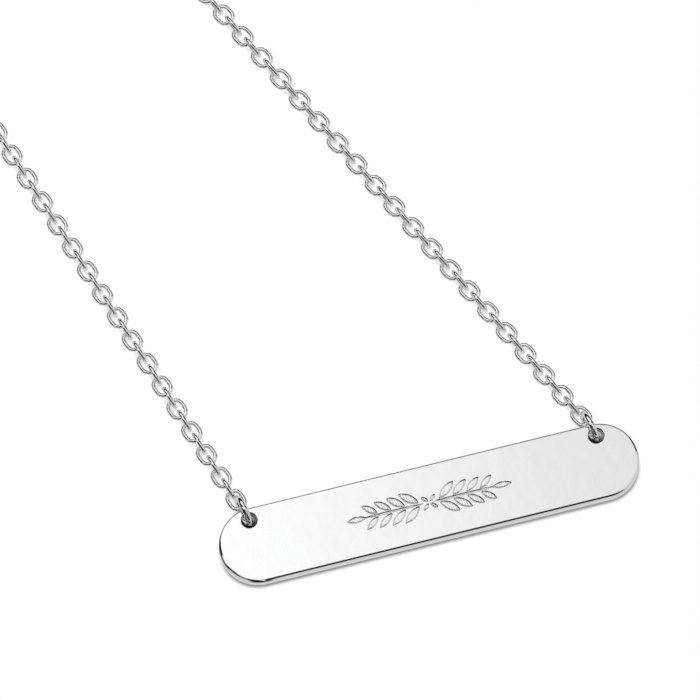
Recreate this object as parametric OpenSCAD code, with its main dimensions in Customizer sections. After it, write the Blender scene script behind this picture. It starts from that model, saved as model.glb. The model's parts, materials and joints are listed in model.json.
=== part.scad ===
// Bar necklace lying on a level surface: a thin engraved plate with round ends,
// held by two jump rings on a closed loop of oval cable chain with a ring clasp.
// +X runs along the bar, the loop of chain lies towards +Y, +Z is up, in millimetres.

/* [Bar] */
// Length of the bar from round end to round end
bar_len = 40.6; // [38:0.2:42]
// Width of the bar, which is also the diameter of its round ends
bar_w = 7.3; // [7.1:0.1:7.4]
// Thickness of the bar
bar_t = 1.5; // [1.4:0.05:1.6]
// Radius that rounds the rim of both faces
rim_r = 0.25; // [0.15:0.05:0.3]
// Diameter of the two holes for the jump rings
hole_d = 1.5; // [1.45:0.01:1.55]
// Distance of each hole from the middle of the bar
hole_x = 16.85; // [16.6:0.05:17.1]
// Distance of the holes above the bar's middle line
hole_y = 2.43; // [2.4:0.01:2.45]
// Angle by which the rings under the top edge lift it off the surface
bar_tilt = 6.4; // [6.2:0.1:6.8]

/* [Engraved sprig] */
// Length of the engraved sprig
sprig_len = 16; // [14:0.5:20]
// Depth of the engraving
cut_depth = 0.14; // [0.08:0.02:0.2]
// Pairs of leaves on each half of the sprig
leaf_pairs = 4; // [3:1:4]
// Length of the longest leaf
leaf_len = 2.1; // [1.6:0.1:2.3]
// Angle between a leaf and the stem
leaf_angle = 38; // [30:1:50]

/* [Jump rings] */
// Wire diameter of the jump rings
ring_wire = 0.57; // [0.5:0.01:0.58]
// Outer diameter of the jump rings
ring_od = 3.35; // [3.3:0.05:3.4]
// Where the ring's wire passes through its hole, above the bar's middle line
ring_pass_y = 2.14; // [2.1:0.01:2.16]
// Directions of the left and right ring, turned from +X
ring_heading = [101, 103]; // [90:1:110]

/* [Chain] */
// Wire diameter of the links
link_wire = 0.43; // [0.36:0.01:0.43]
// Outer length of a link
link_len = 2.48; // [2.46:0.01:2.52]
// Outer width of a link
link_w = 1.85; // [1.8:0.01:1.95]
// Distance from link to link beside the bar in the left and right run, where they lie slack
near_pitch = [1.33, 1.36]; // [1.32:0.01:1.38]
// Distance from link to link farther on in the left and right run
far_pitch = [1.45, 1.46]; // [1.42:0.01:1.47]
// Number of links in the left and right run
link_count = [122, 121]; // [100:1:122]
// Angle by which the links rise and fall along the visible runs
link_tip = 10; // [0:1:11]
// Angle by which the links lean to the left
link_lean = 8; // [0:1:10]

/* [Course of the chain] */
// Angle between the middle of the loop and +Y, towards -X
loop_lean = 20.9; // [10:0.1:30]
// Angle by which each run closes in on the other
run_taper = 4.1; // [1:0.1:6]
// Distance along the middle of the loop to where the runs begin to curve
straight_reach = 56; // [40:1:70]
// Angle by which each run swings outwards before the loop closes
bulge_angle = 28; // [24:1:36]

/* [Clasp] */
// Outer diameter of the clasp's ring
clasp_od = 5.5; // [5.2:0.1:6]
// Thickness of the clasp's ring
clasp_tube = 1; // [0.9:0.05:1.05]
// Wire diameter of the eye soldered to the clasp
eye_wire = 0.4; // [0.36:0.01:0.42]
// Outer diameter of that eye
eye_od = 1.7; // [1.65:0.05:1.8]
// Wire diameter of the ring that closes the chain
closing_wire = 0.44; // [0.4:0.01:0.45]
// Outer diameter of the ring that closes the chain
closing_od = 3.8; // [3.7:0.05:3.9]

/* [Hidden] */
LEFT = 0;
RIGHT = 1;
// Facets of a wire's section, of a small ring or hole, of the bar's round ends, of a link's
// bend and of its thinner wire
wire_fn = 20;
ring_fn = 60;
bar_fn = 96;
link_fn = 24;
link_wire_fn = 16;
silver = [0.86, 0.87, 0.88];
// Clear gap kept between pieces that hang in each other
gap = 0.11;

// Bar
bar_r = bar_w / 2;
// Height at which the tilted bar's lower edge touches the surface
bar_lift = (bar_r - rim_r) * sin(bar_tilt) - rim_r * cos(bar_tilt) + rim_r;

// Jump rings, upright on the surface
ring_mid = (ring_od - ring_wire) / 2;
ring_z = ring_od / 2;

// Chain links: bend_r is the radius of a link's round ends along the middle of the
// wire, and half_straight is half of the straight stretch between them
bend_r = (link_w - link_wire) / 2;
half_straight = (link_len - link_w) / 2;
link_end = half_straight + bend_r;
// Distance of the first link's centre beyond the wire of its jump ring
first_out = 0.37;
// The links lie level again over this many millimetres after the straight stretch
level_over = 30;
// The pitch grows evenly from near to far over this many links
slack_links = 55;

// Distance of link i from the first link of its run
function link_s(side, i) =
    near_pitch[side] * i
    + (far_pitch[side] - near_pitch[side])
        * (i < slack_links ? i * i / (2 * slack_links) : i - slack_links / 2);

// Height of a link's centre when the upright links, tipped by this angle, touch the surface
function link_z(tip) =
    half_straight * sin(tip)
    + bend_r * sqrt(pow(sin(tip), 2) + pow(cos(tip) * cos(link_lean), 2))
    + link_wire / 2;

// Plan direction of an angle, and a direction turned into a 3D vector
function dir(angle) = [cos(angle), sin(angle)];
function at_height(p, z) = [p[0], p[1], z];
// Point of the lying bar, from the bar's own x, y and height above its back
function on_bar(x, y, z) = [
    x,
    y * cos(bar_tilt) - z * sin(bar_tilt),
    y * sin(bar_tilt) + z * cos(bar_tilt) + bar_lift
];

// Plan centre of each jump ring, worked out from where it passes its hole
function ring_centre(side) =
    let (pass = on_bar((side == LEFT ? -1 : 1) * hole_x, ring_pass_y, bar_t / 2))
    [pass[0], pass[1]] + ring_mid * dir(ring_heading[side]);

// Middle line of the loop and directions of its two runs
along = dir(90 + loop_lean);
across = dir(loop_lean);
run_heading = [90 + loop_lean - run_taper, 90 + loop_lean + run_taper];
// Plan centre of each run's first link
link_drop = ring_z - link_z(link_tip);
wire_reach = sqrt(pow(ring_mid, 2) - pow(link_drop, 2));
function first_link(side) =
    ring_centre(side) + wire_reach * dir(ring_heading[side]) + first_out * dir(run_heading[side]);
start_u = [first_link(LEFT) * along, first_link(RIGHT) * along];
start_v = [first_link(LEFT) * across, first_link(RIGHT) * across];
// Offset of the middle line, and half the distance between the runs where they begin to curve
middle_v = (start_v[LEFT] + start_v[RIGHT] + (start_u[RIGHT] - start_u[LEFT]) * tan(run_taper)) / 2;
half_gap = (start_v[RIGHT] - start_v[LEFT]) / 2
    - tan(run_taper) * (straight_reach - (start_u[LEFT] + start_u[RIGHT]) / 2);
straight_len = [
    (straight_reach - start_u[LEFT]) / cos(run_taper),
    (straight_reach - start_u[RIGHT]) / cos(run_taper)
];

// Clasp: distances along the chain from the left run's last link to the right run's last link
clasp_mid = (clasp_od - clasp_tube) / 2;
eye_mid = (eye_od - eye_wire) / 2;
closing_mid = (closing_od - closing_wire) / 2;
closing_z = closing_od / 2;
eye_out = link_end + eye_mid - eye_wire / 2 - link_wire / 2 - gap;
// The clasp lies on the surface at its eye and on the closing ring's wire at its far side
clasp_far_z = closing_wire + gap + clasp_tube / 2 + 0.05;
clasp_slope = asin((clasp_far_z - clasp_tube / 2) / (2 * clasp_mid));
clasp_z = clasp_tube / 2 + clasp_mid * sin(clasp_slope);
eye_z = link_z(0);
eye_bite = 0.12;
// Thumb stud on the clasp's ring: its diameter, its length from the middle of the tube
// and its angle round the ring from the closing ring
stud_d = 0.6;
stud_h = 1.2;
stud_angle = -60;
eye_rise = eye_z - clasp_tube / 2;
ring_from_eye = clasp_mid + sqrt(pow(clasp_tube / 2, 2) - pow(eye_rise, 2)) - eye_bite + eye_mid;
// Inside the closing ring the clasp's tube lies on one side of the middle, and the wire of
// the right run's last link on the other
tube_side = 0.28;
last_side = 0.565;
closing_from_ring = clasp_mid * cos(clasp_slope) + tube_side;
last_from_closing = last_side + link_end;
clasp_span = eye_out + ring_from_eye + closing_from_ring + last_from_closing;

// Back of the loop: each half swings outwards by bulge_angle on the radius swing_r and
// comes round on the radius round_r, and both radii follow from the chain's length
function chain_len(side) = link_s(side, link_count[side] - 1);
half_back = (chain_len(LEFT) + chain_len(RIGHT) + clasp_span - straight_len[LEFT] - straight_len[RIGHT]) / 2;
swing_turn = (bulge_angle + run_taper) * PI / 180;
round_turn = (bulge_angle + 90) * PI / 180;
swing_share = (cos(run_taper) - cos(bulge_angle)) / cos(bulge_angle);
swing_r = (half_back - half_gap / cos(bulge_angle) * round_turn) / (swing_turn + swing_share * round_turn);
round_r = half_gap / cos(bulge_angle) + swing_share * swing_r;
swing_len = swing_r * swing_turn;
swing_v = half_gap + swing_r * (cos(run_taper) - cos(bulge_angle));
swing_u = swing_r * (sin(bulge_angle) + sin(run_taper));

// Point of the loop in plan, as [along, across, angle from the middle line], at a distance
// s from a run's first link: the straight run, the swing outwards and the round back
function course(side, s) =
    s < straight_len[side]
        ? let (t = s - straight_len[side])
          [t * cos(run_taper), half_gap - t * sin(run_taper), -run_taper]
    : s < straight_len[side] + swing_len
        ? let (turn = -run_taper + (s - straight_len[side]) / swing_r * 180 / PI)
          [swing_r * (sin(turn) + sin(run_taper)), half_gap + swing_r * (cos(run_taper) - cos(turn)), turn]
    : let (turn = bulge_angle - (s - straight_len[side] - swing_len) / round_r * 180 / PI)
      [swing_u + round_r * (sin(bulge_angle) - sin(turn)), swing_v + round_r * (cos(turn) - cos(bulge_angle)), turn];
// The same point as [x, y] and its heading from +X
function hand(side) = side == LEFT ? -1 : 1;
function course_xy(side, s) =
    let (c = course(side, s))
    (straight_reach + c[0]) * along + (middle_v + hand(side) * c[1]) * across;
function course_heading(side, s) = 90 + loop_lean - hand(side) * course(side, s)[2];
// Tip of the links, which fades out behind the straight stretch
function tip_at(side, s) =
    link_tip * (1 - min(1, max(0, (s - straight_len[side]) / level_over)));

// Clasp's eye, ring and closing ring along the course, from the left run's last link
eye_s = chain_len(LEFT) + eye_out;
clasp_s = eye_s + ring_from_eye;
closing_s = chain_len(RIGHT) + last_from_closing;
eye_xy = course_xy(LEFT, eye_s);
clasp_xy = course_xy(LEFT, clasp_s);
closing_xy = course_xy(RIGHT, closing_s);
function heading_of(v) = atan2(v[1], v[0]);
eye_heading = heading_of(eye_xy - clasp_xy);
closing_heading = heading_of(closing_xy - clasp_xy);

// The whole piece is shifted so that the origin is at the middle of its footprint
function link_reach(side, i) =
    let (h = course_heading(side, link_s(side, i)))
    [half_straight * abs(cos(h)) + link_w / 2, half_straight * abs(sin(h)) + link_w / 2];
flat_links = [
    for (side = [LEFT, RIGHT]) for (i = [0 : 2 : link_count[side] - 1])
        [course_xy(side, link_s(side, i)), link_reach(side, i)]
];
low_x = min([for (l = flat_links) l[0][0] - l[1][0]]);
high_y = max(concat([for (l = flat_links) l[0][1] + l[1][1]], clasp_xy[1] + clasp_od / 2));
high_x = bar_len / 2;
low_y = -(bar_r - rim_r) * cos(bar_tilt) - (bar_t - rim_r) * sin(bar_tilt) - rim_r;
shift = [-(low_x + high_x) / 2, -(low_y + high_y) / 2, 0];

// A ring of round wire that lies in the XY plane
module wire_ring(mid_r, wire) {
    rotate_extrude($fn = ring_fn)
        translate([mid_r, 0])
            circle(d = wire, $fn = wire_fn);
}

// The same ring standing upright in the XZ plane
module upright_ring(mid_r, wire) {
    rotate([90, 0, 0])
        wire_ring(mid_r, wire);
}

// Half of the bar's cross-section, from its middle to one rounded side
module half_section() {
    square([bar_r - rim_r, bar_t]);
    translate([0, rim_r])
        square([bar_r, bar_t - 2 * rim_r]);
    for (y = [rim_r, bar_t - rim_r])
        translate([bar_r - rim_r, y])
            circle(r = rim_r, $fn = 32);
}

// The plate with round ends and rounded rims
module plate() {
    middle_len = bar_len - bar_w;
    translate([-middle_len / 2, 0, 0])
        rotate([90, 0, 90])
            linear_extrude(height = middle_len)
                union() {
                    half_section();
                    mirror([1, 0])
                        half_section();
                }
    for (end = [-1, 1])
        translate([end * middle_len / 2, 0, 0])
            rotate([0, 0, -90 * end])
                rotate_extrude(angle = 180, $fn = bar_fn)
                    half_section();
}

// A pointed leaf that starts at the origin and runs along +X, as deep as the engraving
module leaf(len, width) {
    // Radius of the two arcs that meet at the leaf's points
    arc_r = (len * len / 4 + width * width / 4) / width;
    intersection_for (side = [-1, 1])
        translate([len / 2, side * (arc_r - width / 2), -cut_depth])
            cylinder(r = arc_r, h = 2 * cut_depth, $fn = bar_fn);
}

// One half of the engraved sprig: a thin stem with leaves in pairs and one at its tip
module half_sprig() {
    tip_len = 0.9 * leaf_len;
    stem_len = sprig_len / 2 - tip_len;
    leaf_step = (stem_len - 0.8) / leaf_pairs;
    leaf(sprig_len / 2 - 0.4 * tip_len, 0.22);
    translate([stem_len, 0, 0])
        leaf(tip_len, 0.3 * tip_len);
    for (i = [0 : leaf_pairs - 1])
        for (side = [-1, 1])
            translate([1 + i * leaf_step, side * 0.16, 0])
                rotate([0, 0, side * leaf_angle])
                    leaf(leaf_len * (1 - 0.07 * i), 0.36 * leaf_len * (1 - 0.07 * i));
}

// Plain four-petalled rosette between the two halves of the sprig
module rosette() {
    for (turn = [45 : 90 : 315])
        rotate([0, 0, turn])
            translate([0.14, 0, 0])
                leaf(0.8, 0.34);
}

// The engraved plate, drilled for its two jump rings and resting on its lower edge
module bar() {
    color(silver)
        translate(shift + [0, 0, bar_lift])
            rotate([bar_tilt, 0, 0])
                difference() {
                    plate();
                    for (x = [-hole_x, hole_x])
                        translate([x, hole_y, -1])
                            cylinder(d = hole_d, h = bar_t + 2, $fn = ring_fn);
                    translate([0, 0, bar_t]) {
                        half_sprig();
                        rotate([0, 0, 180])
                            half_sprig();
                        rosette();
                    }
                }
}

// Jump ring that stands in its hole and reaches over the bar's top edge
module jump_ring(side) {
    color(silver)
        translate(shift + at_height(ring_centre(side), ring_z))
            rotate([0, 0, ring_heading[side]])
                upright_ring(ring_mid, ring_wire);
}

// One oval link, lying in the XY plane with its long axis along X
module link() {
    for (turn = [0, 180])
        rotate([0, 0, turn])
            translate([half_straight, 0, 0])
                rotate([0, 0, -90])
                    rotate_extrude(angle = 180, $fn = link_fn)
                        translate([bend_r, 0])
                            circle(d = link_wire, $fn = link_wire_fn);
    for (y = [-bend_r, bend_r])
        translate([-half_straight, y, 0])
            rotate([0, 90, 0])
                cylinder(d = link_wire, h = 2 * half_straight, $fn = link_wire_fn);
}

// One run of the chain: flat and upright links in turn along the course
module chain(side) {
    color(silver)
        translate(shift)
            for (i = [0 : link_count[side] - 1]) {
                s = link_s(side, i);
                tip = tip_at(side, s);
                upright = i % 2;
                translate(at_height(course_xy(side, s), link_z(tip)))
                    rotate([0, 0, course_heading(side, s)])
                        rotate([0, upright == 1 ? -tip : tip, 0])
                            rotate([90 * upright - link_lean, 0, 0])
                                link();
            }
}

// Plain ring clasp with its soldered eye and a small thumb stud
module clasp() {
    color(silver)
        translate(shift) {
            translate(at_height(clasp_xy, clasp_z))
                rotate([0, 0, closing_heading])
                    rotate([0, -clasp_slope, 0]) {
                        wire_ring(clasp_mid, clasp_tube);
                        rotate([0, 0, stud_angle])
                            translate([clasp_mid, 0, 0])
                                rotate([0, 90, 0])
                                    cylinder(d = stud_d, h = stud_h, $fn = 24);
                    }
            translate(at_height(eye_xy, eye_z))
                wire_ring(eye_mid, eye_wire);
        }
}

// Jump ring that joins the right run to the clasp
module closing_ring() {
    color(silver)
        translate(shift + at_height(closing_xy, closing_z))
            rotate([0, 0, closing_heading])
                upright_ring(closing_mid, closing_wire);
}

bar();
jump_ring(LEFT);  // jump_ring_left
jump_ring(RIGHT);  // jump_ring_right
chain(LEFT);  // chain_left
chain(RIGHT);  // chain_right
clasp();
closing_ring();
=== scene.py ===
import json
import math

import bmesh
import bpy
import numpy as np
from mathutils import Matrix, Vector
from mathutils.geometry import delaunay_2d_cdt


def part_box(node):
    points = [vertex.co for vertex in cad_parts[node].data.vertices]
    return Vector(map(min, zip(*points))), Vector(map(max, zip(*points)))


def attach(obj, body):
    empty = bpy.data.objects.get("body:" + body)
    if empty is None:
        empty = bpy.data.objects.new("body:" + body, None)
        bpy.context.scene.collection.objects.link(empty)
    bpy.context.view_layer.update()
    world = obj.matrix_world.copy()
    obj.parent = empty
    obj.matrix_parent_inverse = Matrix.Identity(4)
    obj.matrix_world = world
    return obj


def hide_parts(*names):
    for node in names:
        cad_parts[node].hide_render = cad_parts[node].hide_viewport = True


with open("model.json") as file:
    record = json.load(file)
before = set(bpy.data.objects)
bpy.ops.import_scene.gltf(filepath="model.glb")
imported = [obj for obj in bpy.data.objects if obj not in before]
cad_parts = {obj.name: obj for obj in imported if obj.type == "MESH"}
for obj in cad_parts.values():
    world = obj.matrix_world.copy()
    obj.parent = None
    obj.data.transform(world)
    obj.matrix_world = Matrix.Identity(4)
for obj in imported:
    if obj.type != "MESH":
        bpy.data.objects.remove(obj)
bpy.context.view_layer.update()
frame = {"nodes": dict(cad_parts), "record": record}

# Plate
# The bar is a plate of sterling silver with round ends, its rims rounded by polishing, and
# it is drilled for two jump rings. Their wires pass under its top edge and lift it, so it
# lies on its lower edge. The back's mount in the frame tells where it is and how it tilts.

# A millimetre in the frame's metres. Sizes that aren't given with it are in millimetres.
MM = 0.001
back = next(mount for mount in frame["record"]["mounts"] if mount["name"] == "bar_back")
back_middle = np.array(back["pos_m"])
plate_up = -np.array(back["axis"])
plate_side = np.array([0, plate_up[2], -plate_up[1]])
plate_len = (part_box("bar")[1].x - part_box("bar")[0].x) / MM
plate_w = 7.3
plate_t = 1.5
rim_r = 0.25
# Width of the flat band beside a rim or hole that keeps the flat faces' reflections even
flat_band = 0.06
end_steps = 48
rim_steps = 8
hole_r = 0.75
hole_x = 16.85
hole_y = 2.43
hole_bevel = 0.04
hole_steps = 48


def grid_faces(rows, columns, round_rows=False, round_columns=True):
    """Quads between the neighbours of a grid of points. Its last row meets its first one, and
    its last column its first one, where that is set."""
    row, column = np.meshgrid(
        np.arange(rows - (not round_rows)),
        np.arange(columns - (not round_columns)),
        indexing="ij",
    )
    next_row = (row + 1) % rows
    next_column = (column + 1) % columns
    corners = [
        row * columns + column,
        next_row * columns + column,
        next_row * columns + next_column,
        row * columns + next_column,
    ]
    return np.stack(corners, axis=-1).reshape(-1, 4)


def turned_profile(profile, middle_x, middle_y, angle):
    """A profile of (radius, height) pairs turned about an upright axis: each point lies at
    its radius in the direction of the angle, and the axis may move along x with it."""
    radius, height = np.array(profile).T[..., None]
    return np.stack(
        [
            middle_x + radius * np.cos(angle),
            middle_y + radius * np.sin(angle),
            height + 0 * angle,
        ],
        axis=-1,
    )


def rim_profile():
    """The plate's edge from its top to its back: two quarter circles and the wall between."""
    quarter = np.linspace(0, math.pi / 2, rim_steps)
    inner = plate_w / 2 - rim_r
    top = [(inner + rim_r * math.sin(a), plate_t - rim_r + rim_r * math.cos(a)) for a in quarter]
    bottom = [(inner + rim_r * math.cos(a), rim_r - rim_r * math.sin(a)) for a in quarter]
    return [(inner - flat_band, plate_t), *top, *bottom, (inner - flat_band, 0)]


def plate_rim():
    """The edge's profile carried round a half circle at each end of the plate."""
    right = np.linspace(-math.pi / 2, math.pi / 2, end_steps)
    angle = np.concatenate([right, right + math.pi])
    end_x = plate_len / 2 - plate_w / 2
    middle_x = np.concatenate([0 * right + end_x, 0 * right - end_x])
    return turned_profile(rim_profile(), middle_x, 0, angle)


def drilled_hole(x):
    """A hole's wall from the back to the top, with a fine bevel at both edges."""
    profile = [
        (hole_r + hole_bevel + flat_band, 0),
        (hole_r + hole_bevel, 0),
        (hole_r, hole_bevel),
        (hole_r, plate_t - hole_bevel),
        (hole_r + hole_bevel, plate_t),
        (hole_r + hole_bevel + flat_band, plate_t),
    ]
    angle = np.linspace(0, 2 * math.pi, hole_steps, endpoint=False)
    return turned_profile(profile, x, hole_y, angle)


# Engraving
# A sprig is cut into the middle of the plate by hand: every leaf has a fine outline, and
# its floor is hatched. The cuts are matt and grey, and the plate round them is polished.
sprig_len = 16
stem_w = 0.22
leaf_len = 2.1
leaf_pairs = 4
leaf_angle = math.radians(38)
leaf_slimness = 0.36
first_leaf_x = 1
leaf_y = 0.16
# Share of the first leaf's length by which each next leaf is shorter than the one before
leaf_shrink = 0.07
# Length that the leaf pairs leave free on the stem
bare_stem = 0.8
tip_len = 0.9 * leaf_len
tip_slimness = 0.3
# Share of the tip leaf that the stem stays short of the sprig's end
stem_short = 0.4
petal_len = 0.8
petal_w = 0.34
petal_from_middle = 0.14
cut_depth = 0.14
# Place of an outline's groove in from the leaf's edge, and the groove's width
groove_in = 0.06
groove_w = 0.045
# The floor's depth and the hatching on it, as shares of the groove's depth
floor_share = 0.42
hatch_share = 0.05
hatch_step = 0.3
hatch_slant = 1.2
# Distance over which the floor and the groove's outer side reach their depth
floor_slope = 0.1
edge_slope = 0.03
field_x = 8.2
field_y = 1.8
cut_step = 0.04
# Distance within which the flat faces' net takes two corners for one
net_merge = 1e-6
plate_tone = (0.93, 0.93, 0.935)
plate_roughness = 0.06
plate_wave = 2 * MM
plate_wave_height = 0.002 * MM
wave_detail = 2
cut_tone = (0.88, 0.88, 0.89)
cut_roughness = 0.28


def half_sprig(way):
    """Rows of x, y, angle, length and width for the half of the sprig that points to +x (way
    1) or to -x (way -1): the stem, the leaf at its tip and the pairs."""
    stem_len = sprig_len / 2 - tip_len
    leaf_step = (stem_len - bare_stem) / leaf_pairs
    stem = (0, 0, 0, sprig_len / 2 - stem_short * tip_len, stem_w)
    tip = (stem_len, 0, 0, tip_len, tip_slimness * tip_len)
    rows = [stem, tip]
    for i in range(leaf_pairs):
        size = leaf_len * (1 - leaf_shrink * i)
        x = first_leaf_x + i * leaf_step
        for side in (-1, 1):
            rows.append((x, side * leaf_y, side * leaf_angle, size, leaf_slimness * size))
    half_turn = (way < 0) * math.pi
    return [(way * x, way * y, angle + half_turn, size, width) for x, y, angle, size, width in rows]


def rosette():
    """Rows of the same kind for the four petals between the halves of the sprig."""
    rows = []
    for angle in np.radians([45, 135, 225, 315]):
        x = petal_from_middle * math.cos(angle)
        y = petal_from_middle * math.sin(angle)
        rows.append((x, y, angle, petal_len, petal_w))
    return rows


def cut_by(leaf, x, y):
    """Depth that one leaf cuts at each point. A leaf lies between two arcs, and the distance
    inward from the nearer arc shapes it: an outline groove and a shallower, hatched floor."""
    leaf_x, leaf_y, angle, length, width = leaf
    along = (x - leaf_x) * math.cos(angle) + (y - leaf_y) * math.sin(angle)
    across = (y - leaf_y) * math.cos(angle) - (x - leaf_x) * math.sin(angle)
    arc_r = (length**2 + width**2) / (4 * width)
    inward = arc_r - np.hypot(along - length / 2, np.abs(across) + arc_r - width / 2)
    groove = np.exp(-(((inward - groove_in) / groove_w) ** 2))
    hatching = np.cos(2 * math.pi * (along + hatch_slant * across) / hatch_step)
    floor = (floor_share + hatch_share * hatching) * np.clip(inward / floor_slope, 0, 1)
    return cut_depth * np.clip(np.maximum(groove, floor), 0, 1) * np.clip(inward / edge_slope, 0, 1)


def engraved_field():
    """The plate's top over a rectangle, lowered at each point by the deepest cut there."""
    columns = np.linspace(-field_x, field_x, round(2 * field_x / cut_step))
    rows = np.linspace(-field_y, field_y, round(2 * field_y / cut_step))
    x, y = np.meshgrid(columns, rows, indexing="ij")
    depth = np.zeros(x.shape)
    for leaf in [*half_sprig(1), *half_sprig(-1), *rosette()]:
        depth = np.maximum(depth, cut_by(leaf, x, y))
    return np.stack([x, y, plate_t - depth], axis=-1)


def filled_flat(points, outer, inner):
    """Triangles of a flat face between an outer loop of corners and the loops in it. The
    Delaunay net of all loops is cut where a triangle has its corners on one inner loop."""
    loops = [outer, *inner]
    corners = np.concatenate(loops)
    edges = np.concatenate([np.stack([loop, np.roll(loop, -1)], axis=-1) for loop in loops])
    number = {corner: i for i, corner in enumerate(corners)}
    net = delaunay_2d_cdt(
        [Vector(points[corner][:2]) for corner in corners],
        [(number[first], number[second]) for first, second in edges],
        [],
        0,
        net_merge,
    )
    owner = np.repeat(np.arange(len(loops)), [len(loop) for loop in loops])
    triangles = np.array(net[2])
    owners = owner[triangles]
    cut_away = (owners[:, 0] > 0) & (owners == owners[:, :1]).all(axis=1)
    return corners[triangles[~cut_away]]


def plate_mesh():
    """Rim, holes and engraved field as grids, with the flat top and back filled between them.
    The points are numbered through all grids, and each grid keeps the numbers of its own."""
    grids = [plate_rim(), drilled_hole(-hole_x), drilled_hole(hole_x), engraved_field()]
    sizes = [grid[..., 0].size for grid in grids]
    numbers = [
        np.arange(end - size, end).reshape(grid.shape[:2])
        for grid, size, end in zip(grids, sizes, np.cumsum(sizes))
    ]
    rim, left_hole, right_hole, field = numbers
    quads = [number.ravel()[grid_faces(*number.shape)] for number in (rim, left_hole, right_hole)]
    quads.append(field.ravel()[grid_faces(*field.shape, round_columns=False)])
    border = np.concatenate([field[:-1, 0], field[-1, :-1], field[:0:-1, -1], field[0, :0:-1]])
    points = np.concatenate([grid.reshape(-1, 3) for grid in grids])
    top = filled_flat(points, rim[0], [left_hole[-1], right_hole[-1], border])
    bottom = filled_flat(points, rim[-1], [left_hole[0], right_hole[0]])
    faces = [face for part in (*quads, top, bottom) for face in part.tolist()]
    mesh = bpy.data.meshes.new("bar")
    mesh.from_pydata(points.tolist(), [], faces)
    shell = bmesh.new()
    shell.from_mesh(mesh)
    bmesh.ops.recalc_face_normals(shell, faces=shell.faces)
    shell.to_mesh(mesh)
    shell.free()
    return mesh


def corners_of(mesh):
    """The mesh's corners as an array of x, y and z."""
    corners = np.empty(3 * len(mesh.vertices), np.float32)
    mesh.vertices.foreach_get("co", corners)
    return corners.reshape(-1, 3)


def finished(name, mesh, material, slot, *nodes):
    """The piece as a smooth object that rides on the frame and stands for its CAD nodes."""
    mesh.polygons.foreach_set("use_smooth", np.ones(len(mesh.polygons), bool))
    mesh.materials.append(material)
    piece = bpy.data.objects.new(name, mesh)
    bpy.context.scene.collection.objects.link(piece)
    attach(piece, "root")
    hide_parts(*nodes)
    return piece


def silver(name, tone, roughness, wave_size, wave_height):
    """Polished silver: a bright metal whose surface waves a little, as hand polishing leaves
    it. The waves are noise of the given size that lifts the surface by a small height."""
    material = bpy.data.materials.new(name)
    material.use_nodes = True
    nodes = material.node_tree.nodes
    link = material.node_tree.links.new
    metal = nodes["Principled BSDF"]
    metal.inputs["Base Color"].default_value = (*tone, 1)
    metal.inputs["Metallic"].default_value = 1
    metal.inputs["Roughness"].default_value = roughness
    place = nodes.new("ShaderNodeTexCoord")
    waves = nodes.new("ShaderNodeTexNoise")
    waves.inputs["Scale"].default_value = 1 / wave_size
    waves.inputs["Detail"].default_value = wave_detail
    lift = nodes.new("ShaderNodeBump")
    lift.inputs["Distance"].default_value = wave_height
    link(place.outputs["Object"], waves.inputs["Vector"])
    link(waves.outputs["Fac"], lift.inputs["Height"])
    link(lift.outputs["Normal"], metal.inputs["Normal"])
    return material


def mapped(tree, number, span, to_span):
    """The output that maps one span of numbers to another. It never leaves the second one."""
    ranges = tree.nodes.new("ShaderNodeMapRange")
    for name, value in zip(("From Min", "From Max", "To Min", "To Max"), (*span, *to_span)):
        ranges.inputs[name].default_value = value
    tree.links.new(number, ranges.inputs["Value"])
    return ranges.outputs["Result"]


def add_cut_finish(material):
    """Turns the metal matt and grey as far as the attribute "cut" says that it is engraved."""
    tree = material.node_tree
    metal = tree.nodes["Principled BSDF"]
    cut = tree.nodes.new("ShaderNodeAttribute")
    cut.attribute_name = "cut"
    colour = tree.nodes.new("ShaderNodeMix")
    colour.data_type = "RGBA"
    colour.inputs["A"].default_value = metal.inputs["Base Color"].default_value
    colour.inputs["B"].default_value = (*cut_tone, 1)
    roughness = mapped(tree, cut.outputs["Fac"], (0, 1), (plate_roughness, cut_roughness))
    tree.links.new(cut.outputs["Fac"], colour.inputs["Factor"])
    tree.links.new(colour.outputs["Result"], metal.inputs["Base Color"])
    tree.links.new(roughness, metal.inputs["Roughness"])


plate = plate_mesh()
plate_points = corners_of(plate)
in_field = (np.abs(plate_points[:, 0]) < field_x) & (np.abs(plate_points[:, 1]) < field_y)
lowered = np.clip((plate_t - plate_points[:, 2]) / cut_depth, 0, 1)
cut = plate.attributes.new("cut", "FLOAT", "POINT")
cut.data.foreach_set("value", np.where(in_field, lowered, 0).astype(np.float32))
x, y, z = plate_points.T[..., None]
placed = back_middle + MM * (x * np.array([1, 0, 0]) + y * plate_side + z * plate_up)
plate.vertices.foreach_set("co", placed.astype(np.float32).ravel())
plate_silver = silver("plate silver", plate_tone, plate_roughness, plate_wave, plate_wave_height)
add_cut_finish(plate_silver)
finished("engraved_bar", plate, plate_silver, "bar_silver", "bar")

# Jump rings
# Two rings of round silver wire stand in the plate's holes and reach over its top edge,
# and a third, larger one joins the chain's right end to the clasp at the back.
ring_wires = {"jump_ring_left": 0.57, "jump_ring_right": 0.57, "closing_ring": 0.44}
ring_steps = 72
ring_sides = 20
ring_tone = (0.92, 0.92, 0.925)
ring_roughness = 0.07
ring_wave = 1 * MM
ring_wave_height = 0.004 * MM


def lie_of(points):
    """Middle, three directions and size of a piece, the longest direction first: it spreads
    most along the first and least along the last, and its middle is half-way along each."""
    centre = points.mean(axis=0)
    first, second = np.linalg.svd(points - centre, full_matrices=False)[2][:2]
    directions = np.array([first, second, np.cross(first, second)])
    reach = (points - centre) @ directions.T
    low = reach.min(axis=0)
    high = reach.max(axis=0)
    return centre + (low + high) / 2 @ directions, directions, high - low


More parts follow.
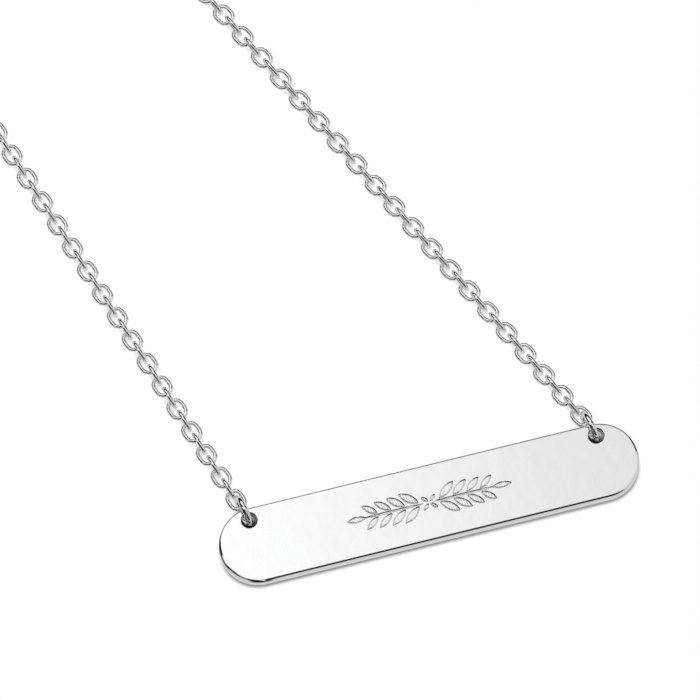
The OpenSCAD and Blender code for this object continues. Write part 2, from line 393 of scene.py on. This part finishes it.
def bent_wire(path, outward, wire_r, sides):
    """Round wire bent to a flat loop. Each point of the path, in the loop's own plane, moves
    by the wire's radius: by its cosine outwards and by its sine along the loop's axis."""
    turn = np.linspace(0, 2 * math.pi, sides, endpoint=False)
    flat = path[:, None] + wire_r * np.cos(turn)[None, :, None] * outward[:, None]
    rise = wire_r * np.sin(turn)[None, :] + 0 * flat[..., 0]
    return np.concatenate([flat, rise[..., None]], axis=-1)


def ring_shape(middle_r, wire_r):
    """Wire bent round a circle."""
    angle = np.linspace(0, 2 * math.pi, ring_steps, endpoint=False)
    outward = np.stack([np.cos(angle), np.sin(angle)], axis=-1)
    return bent_wire(middle_r * outward, outward, wire_r, ring_sides)


def mesh_of(name, shapes):
    """One mesh from several wire loops of the same number of steps and sides."""
    count, steps, sides = shapes.shape[:3]
    faces = grid_faces(steps, sides, round_rows=True)
    starts = steps * sides * np.arange(count)[:, None, None]
    mesh = bpy.data.meshes.new(name)
    mesh.from_pydata(shapes.reshape(-1, 3).tolist(), [], (faces + starts).reshape(-1, 4).tolist())
    return mesh


ring_silver = silver("ring silver", ring_tone, ring_roughness, ring_wave, ring_wave_height)
for node, wire in ring_wires.items():
    middle, directions, size = lie_of(corners_of(frame["nodes"][node].data))
    wire_r = wire * MM / 2
    ring = middle + ring_shape(size[0] / 2 - wire_r, wire_r) @ directions
    finished(node + "_wire", mesh_of(node, ring[None]), ring_silver, "ring_silver", node)

# Chain
# Two runs of fine cable chain: oval links of round wire, each bent, closed and soldered,
# hang in each other at right angles. The frame's loose solids tell where each link lies.
link_wire_r = 0.215 * MM
bend_steps = 7
link_sides = 6
chain_tone = (0.93, 0.93, 0.935)
chain_roughness = 0.05
chain_wave = 0.6 * MM
chain_wave_height = 0.005 * MM


def loose_solids(node):
    """The corners of each loose solid of a CAD node. Faces that share a corner belong to one
    solid, so the lowest corner number spreads through them until each solid has its own."""
    mesh = frame["nodes"][node].data
    corners, same = np.unique(corners_of(mesh), axis=0, return_inverse=True)
    sides = np.empty(len(mesh.loops), np.int32)
    mesh.loops.foreach_get("vertex_index", sides)
    faces = same.ravel()[sides].reshape(-1, 3)
    label = np.arange(len(corners))
    spread = True
    while spread:
        lower = label.copy()
        for side in faces.T:
            np.minimum.at(lower, side, label[faces].min(axis=1))
        lower = lower[lower]
        spread = (lower != label).any()
        label = lower
    return [corners[label == solid] for solid in np.unique(label)]


def link_shape(length, width):
    """Wire bent to an oval: two half circles and the straight stretches between them."""
    bend_r = width / 2 - link_wire_r
    half_straight = (length - width) / 2
    right = np.linspace(-math.pi / 2, math.pi / 2, bend_steps)
    angle = np.concatenate([right, right + math.pi])
    outward = np.stack([np.cos(angle), np.sin(angle)], axis=-1)
    ends = np.stack([np.repeat([1, -1], bend_steps) * half_straight, 0 * angle], axis=-1)
    return bent_wire(ends + bend_r * outward, outward, link_wire_r, link_sides)


chain_silver = silver("chain silver", chain_tone, chain_roughness, chain_wave, chain_wave_height)
for node in ("chain_left", "chain_right"):
    lies = [lie_of(solid) for solid in loose_solids(node)]
    links = [middle + link_shape(*size[:2]) @ directions for middle, directions, size in lies]
    finished(node + "_links", mesh_of(node, np.array(links)), chain_silver, "chain_silver", node)

# Clasp
# A plain ring clasp of polished silver wire with a thumb stud and a soldered eye. It keeps
# the frame's own mesh, merged and made smooth except at the stud's sharp end.
merge_within = 0.0005 * MM
sharp_from = math.radians(40)
clasp_mesh = frame["nodes"]["clasp"].data.copy()
clasp_mesh.materials.clear()
merged = bmesh.new()
merged.from_mesh(clasp_mesh)
bmesh.ops.remove_doubles(merged, verts=merged.verts, dist=merge_within)
merged.to_mesh(clasp_mesh)
merged.free()
finished("ring_clasp", clasp_mesh, ring_silver, "ring_silver", "clasp")
clasp_mesh.set_sharp_from_angle(angle=sharp_from)

# Studio
# The necklace lies on a white board under a white ceiling. The room is dark below the
# ceiling's end, which is high up in front, where the camera stands: the metal mirrors that as
# the black lines along its rims and wires. Elsewhere the ceiling comes down lower.
floor_half = 3000 * MM
# The shade painted into the board in the plate's holes and at its foot: how far the metal casts
# it, the shares of open sky between which it fades, and the tones there
hole_reach = 2.5 * MM
hole_open = (0.22, 0.42)
hole_tones = (0, 1)
foot_reach = 0.55 * MM
foot_open = (0.5, 0.86)
foot_tones = (0.3, 1)
# From where to where the board loses these painted shades, behind the plate's middle, and the
# tones that it keeps at least
clear_places = (back_middle[1] + 3.2 * MM, back_middle[1] + 4.2 * MM)
clear_tones = (0, 0.88)
# Painted tones of the board in the metal, light and black, which darken its reflection, and the
# distances from the plate's round left end between which it goes from one to the other
mirror_light = 0.66
mirror_black = 0.05
left_end = (back_middle[0] - (plate_len - plate_w) / 2 * MM, back_middle[1], 0)
left_end_reach = ((plate_w / 2 + 0.3) * MM, (plate_w / 2 + 0.5) * MM)
# Painted tone in the metal farther from there, by direction in turns from -X over -Y, +X and +Y
left_end_tones = (
    (0.0, mirror_black), (0.05, mirror_black), (0.08, mirror_light), (0.165, mirror_light),
    (0.19, mirror_black), (0.26, mirror_black), (0.275, mirror_light), (0.885, mirror_light),
    (0.905, mirror_black), (1.0, mirror_black),
)
# Height at which the ceiling ends, from 0 at the horizon to 1 overhead, by direction. The gap
# at a quarter turn lights the plate for a view from behind.
ceiling_ends = (
    (0.0, 0.4), (0.028, 0.42), (0.045, 0.97), (0.24, 0.97), (0.244, 0.3),
    (0.254, 0.3), (0.26, 0.97), (0.335, 0.97), (0.35, 0.0), (0.52, 0.0),
    (0.545, 0.92), (0.585, 0.9), (0.602, 0.57), (0.7, 0.6), (0.86, 0.5),
    (0.9, 0.5), (0.915, 0.97), (0.968, 0.97), (0.985, 0.4), (1.0, 0.4),
)
# How much the ceiling's end is blurred, and the dark room's tone below it
ceiling_blur = 0.03
room_tone = 0.015
# Tone of the dark room's one grey wall, by direction, and the heights between which it starts.
# It lights the plate for a view from behind on the right.
wall_tones = ((0.0, 0.0), (0.11, 0.0), (0.12, 0.25), (0.16, 0.25), (0.17, 0.0), (1.0, 0.0))
wall_foot = (0.06, 0.12)
# The heights between which the light grows towards the top, and the places towards +X
# between which it fades, with the tones there
growing_heights = (0.72, 0.92)
growing_tones = (0.8, 1)
fading_places = (0.078, 0.108)
fading_tones = (1.12, 0.78)


def combined(tree, operation, first, second):
    """The output that holds the result of a calculation with two numbers."""
    step = tree.nodes.new("ShaderNodeMath")
    step.operation = operation
    tree.links.new(first, step.inputs[0])
    tree.links.new(second, step.inputs[1])
    return step.outputs["Value"]


def parts_of(tree, vector):
    """The outputs for the X, Y and Z of a vector."""
    axes = tree.nodes.new("ShaderNodeSeparateXYZ")
    tree.links.new(vector, axes.inputs["Vector"])
    return axes.outputs["X"], axes.outputs["Y"], axes.outputs["Z"]


def by_direction(tree, vector, rows):
    """A number for each direction of a vector round the vertical, in turns from -X over -Y,
    +X and +Y. It runs straight from each row of a turn and its number to the next."""
    x, y, _ = parts_of(tree, vector)
    angle = combined(tree, "ARCTAN2", y, x)
    turn = mapped(tree, angle, (-math.pi, math.pi), (0, 1))
    ramp = tree.nodes.new("ShaderNodeValToRGB")
    steps = ramp.color_ramp.elements
    for step, (position, number) in zip(steps, (rows[0], rows[-1])):
        step.position = position
        step.color = (number, number, number, 1)
    for position, number in rows[1:-1]:
        steps.new(position).color = (number, number, number, 1)
    tree.links.new(turn, ramp.inputs["Fac"])
    return ramp.outputs["Color"]


def painted_shade(tree, reach, open_share, tones):
    """Painted shade: a tone that follows the share of the sky that is open above a point, when only
    what is nearer than the reach covers it."""
    open_sky = tree.nodes.new("ShaderNodeAmbientOcclusion")
    open_sky.inputs["Distance"].default_value = reach
    return mapped(tree, open_sky.outputs["AO"], open_share, tones)


def painted_tone_in_metal(tree, point):
    """Painted tone of the board where the metal mirrors it, a painted reflection: light beside the
    plate's left end, and farther away as the direction from there says."""
    from_end = tree.nodes.new("ShaderNodeVectorMath")
    from_end.operation = "SUBTRACT"
    from_end.inputs[1].default_value = left_end
    tree.links.new(point, from_end.inputs[0])
    away = tree.nodes.new("ShaderNodeVectorMath")
    away.operation = "LENGTH"
    tree.links.new(from_end.outputs["Vector"], away.inputs[0])
    beside = mapped(tree, away.outputs["Value"], left_end_reach, (mirror_light, mirror_black))
    farther = by_direction(tree, from_end.outputs["Vector"], left_end_tones)
    return combined(tree, "MAXIMUM", farther, beside)


def white_board():
    """A plain square floor that shines evenly white, as a board does that is lit on its own.
    Painted shade makes it dark deep in the holes and at the plate's foot, and nothing shades it
    farther back, where the chain lies. The metal mirrors it in a painted tone, darker than the
    camera sees."""
    corners = [
        (-floor_half, -floor_half, 0),
        (floor_half, -floor_half, 0),
        (floor_half, floor_half, 0),
        (-floor_half, floor_half, 0),
    ]
    mesh = bpy.data.meshes.new("white board")
    mesh.from_pydata(corners, [], [(0, 1, 2, 3)])
    board = bpy.data.materials.new("white board")
    board.use_nodes = True
    tree = board.node_tree
    link = tree.links.new
    place = tree.nodes.new("ShaderNodeTexCoord")
    glow = tree.nodes.new("ShaderNodeEmission")
    seen = tree.nodes.new("ShaderNodeLightPath")
    shown = tree.nodes.new("ShaderNodeMix")
    _, behind, _ = parts_of(tree, place.outputs["Object"])
    clear = mapped(tree, behind, clear_places, clear_tones)
    # Painted shade: the board's glow darkens at the plate's foot and deep in its holes
    foot = combined(tree, "MAXIMUM", painted_shade(tree, foot_reach, foot_open, foot_tones), clear)
    hole = combined(tree, "MAXIMUM", painted_shade(tree, hole_reach, hole_open, hole_tones), clear)
    # Painted reflection: the metal sees the board in its painted tone, the camera sees the painted
    # foot shade
    link(painted_tone_in_metal(tree, place.outputs["Object"]), shown.inputs["A"])
    link(foot, shown.inputs["B"])
    link(seen.outputs["Is Camera Ray"], shown.inputs["Factor"])
    link(combined(tree, "MULTIPLY", shown.outputs["Result"], hole), glow.inputs["Strength"])
    link(glow.outputs["Emission"], tree.nodes["Material Output"].inputs["Surface"])
    mesh.materials.append(board)
    table = bpy.data.objects.new("white board", mesh)
    bpy.context.scene.collection.objects.link(table)
    return table


def white_ceiling():
    """Light from all round. The ceiling is white above the height at which it ends in each
    direction and a little greyer lower down, and below it the room is dark but for its grey
    wall. All of it fades towards +X, where the plate's right end mirrors it."""
    sky = bpy.data.worlds.new("white ceiling")
    sky.use_nodes = True
    bpy.context.scene.world = sky
    tree = sky.node_tree
    direction = tree.nodes.new("ShaderNodeTexCoord").outputs["Generated"]
    across, _, height = parts_of(tree, direction)
    above = combined(tree, "SUBTRACT", height, by_direction(tree, direction, ceiling_ends))
    ceiling = mapped(tree, above, (-ceiling_blur, ceiling_blur), (room_tone, 1))
    wall = by_direction(tree, direction, wall_tones)
    wall = combined(tree, "MINIMUM", wall, mapped(tree, height, wall_foot, (0, 1)))
    light = combined(tree, "MAXIMUM", ceiling, wall)
    light = combined(tree, "MULTIPLY", light, mapped(tree, height, growing_heights, growing_tones))
    light = combined(tree, "MULTIPLY", light, mapped(tree, across, fading_places, fading_tones))
    tree.links.new(light, tree.nodes["Background"].inputs["Color"])


white_board()
white_ceiling()
bpy.context.scene.view_settings.view_transform = "Standard"

# Camera
# The photograph looks down steeply from the front left, with a long lens. Its place is
# given from the middle of the plate, on the table.
camera_from_plate = (-139.69, -506.47, 1406.97)
camera_down = 68.96
camera_yaw = 14.61
camera_lens = 821.34
camera_sensor = 36
camera = bpy.data.objects.new("photograph", bpy.data.cameras.new("photograph"))
camera.data.lens = camera_lens
camera.data.sensor_width = camera_sensor
camera.location = [
    back_middle[0] + camera_from_plate[0] * MM,
    back_middle[1] + camera_from_plate[1] * MM,
    camera_from_plate[2] * MM,
]
camera.rotation_euler = (math.radians(90 - camera_down), 0, math.radians(-camera_yaw))
bpy.context.scene.collection.objects.link(camera)
bpy.context.scene.camera = camera
